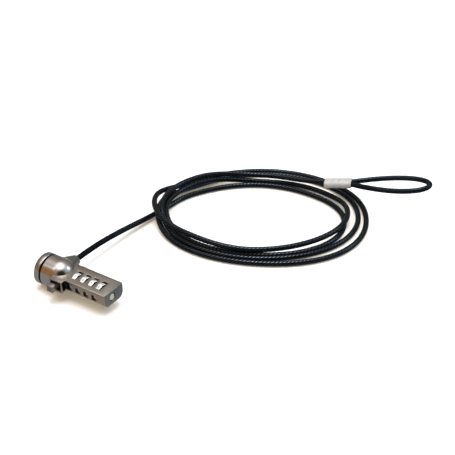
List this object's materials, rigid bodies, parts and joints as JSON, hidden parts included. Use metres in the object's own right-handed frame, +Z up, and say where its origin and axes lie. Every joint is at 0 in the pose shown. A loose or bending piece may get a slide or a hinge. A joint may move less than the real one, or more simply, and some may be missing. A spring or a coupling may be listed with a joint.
{
  "type": "laptop cable lock",
  "caption": "Combination cable lock for a laptop security slot: round head with T-bar, slab dial body with side release lever, swivelling coiled steel cable ending in a crimped loop",
  "frame": {"origin": "centre of the flat locking face of the round head, on the head's axis", "axes": "+X from the locking face along the head's axis to the dial end; +Y the way the cable leaves the head; +Z up, out of the flat dial face"},
  "size_m": [0.1801, 0.2358, 0.0253],
  "materials": {
    "polished_shell": "polished dark nickel plate",
    "satin_body": "satin gunmetal plate on a zinc casting",
    "ring_rubber": "smooth black rubber",
    "hardened_steel": "turned hardened steel",
    "dark_steel": "blackened steel screws",
    "spring_steel": "drawn spring steel",
    "dial": "satin nickel dials with dark filled digits",
    "brass": "machined brass",
    "lever_metal": "satin brown-grey plated lever",
    "boss_metal": "satin olive nickel",
    "jacket": "glossy black vinyl drawn tight over the rope's strands",
    "rope": "galvanised steel wire rope",
    "crimp": "pressed aluminium, matte"
  },
  "bodies": {
    "cable": {"swivel_stud": "hardened_steel", "swivel_clip": "spring_steel", "cable_jacket": "jacket", "cable_rope": "rope", "crimp_sleeve": "crimp"},
    "housing": {"nose_cap": "polished_shell", "head_ring": "ring_rubber", "head_shell": "polished_shell", "t_bar": "hardened_steel", "t_bar_pin": "hardened_steel", "dial_body": "satin_body", "belly_cover": "satin_body", "cover_screws": "dark_steel", "body_screws": "dark_steel", "detent_comb": "spring_steel", "swivel_boss": "boss_metal"},
    "dial_1_body": {"dial_1": "dial", "code_hub_1": "brass"},
    "dial_2_body": {"dial_2": "dial", "code_hub_2": "brass"},
    "dial_3_body": {"dial_3": "dial", "code_hub_3": "brass"},
    "dial_4_body": {"dial_4": "dial", "code_hub_4": "brass"},
    "lever": {"release_lever": "lever_metal", "pin_carrier": "brass", "guard_pins": "hardened_steel", "lock_spindle": "hardened_steel", "return_spring": "spring_steel"},
    "reset": {"reset_screw": "brass", "reset_clip": "spring_steel"}
  },
  "joints": [
    {"name": "cable_swivel", "type": "hinge", "parent": "cable", "child": "housing", "pos_m": [0.0114, 0.012, 0], "axis": [0, -1, 0], "continuous": true},
    {"name": "dial_1_turn", "type": "hinge", "parent": "housing", "child": "dial_1_body", "pos_m": [0.0286, -0.0012, 0.00044], "axis": [1, 0, 0], "continuous": true},
    {"name": "dial_2_turn", "type": "hinge", "parent": "housing", "child": "dial_2_body", "pos_m": [0.0351, -0.0012, 0.00044], "axis": [1, 0, 0], "continuous": true},
    {"name": "dial_3_turn", "type": "hinge", "parent": "housing", "child": "dial_3_body", "pos_m": [0.0416, -0.0012, 0.00044], "axis": [1, 0, 0], "continuous": true},
    {"name": "dial_4_turn", "type": "hinge", "parent": "housing", "child": "dial_4_body", "pos_m": [0.0481, -0.0012, 0.00044], "axis": [1, 0, 0], "continuous": true},
    {"name": "lever_slide", "type": "slide", "parent": "housing", "child": "lever", "axis": [1, 0, 0], "range_m": [0, 0.0026], "stiffness_N_per_m": 900, "springref_m": -0.003, "deforming": ["return_spring"]},
    {"name": "reset_turn", "type": "hinge", "parent": "housing", "child": "reset", "pos_m": [0.0545, -0.0012, 0.00044], "axis": [1, 0, 0], "range_deg": [0, 90]}
  ]
}
